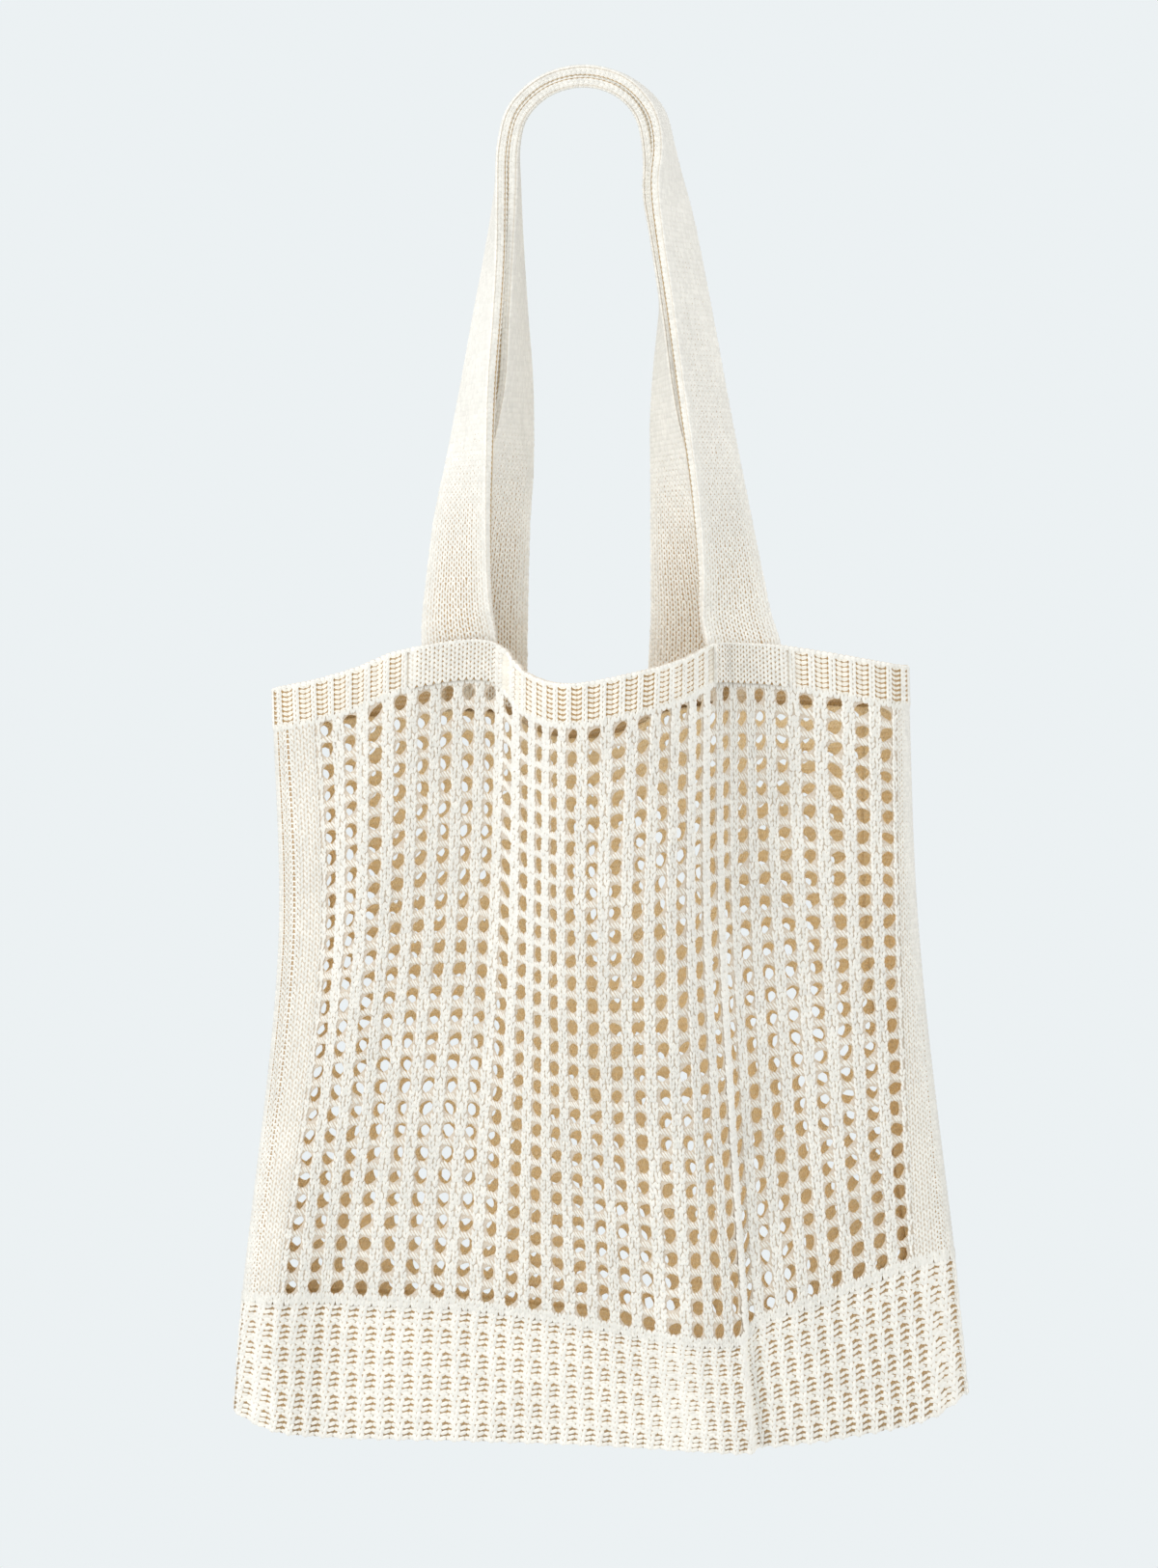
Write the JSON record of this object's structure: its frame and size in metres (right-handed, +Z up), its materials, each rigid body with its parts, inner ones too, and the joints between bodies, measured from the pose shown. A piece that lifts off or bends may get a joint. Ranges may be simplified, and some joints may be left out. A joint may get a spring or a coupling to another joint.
{
  "type": "tote_bag",
  "caption": "Cream knitted openwork tote bag with ribbed bands, hanging by its two knitted shoulder straps.",
  "frame": {"origin": "inside top of the strap loop, where the bag hangs on a hook", "axes": "+Z up, +X to the right of a viewer who faces the front, +Y away from that viewer"},
  "size_m": [0.3802, 0.1344, 0.7133],
  "materials": {
    "openwork_knit": "matte",
    "plain_knit": "matte",
    "rib_knit": "matte",
    "strap_knit": "matte"
  },
  "bodies": {
    "root": {"front_panel": "openwork_knit", "back_panel": "openwork_knit", "left_side": "plain_knit", "right_side": "plain_knit", "top_band": "rib_knit", "bottom_band": "rib_knit", "front_strap": "strap_knit", "back_strap": "strap_knit"}
  },
  "joints": []
}
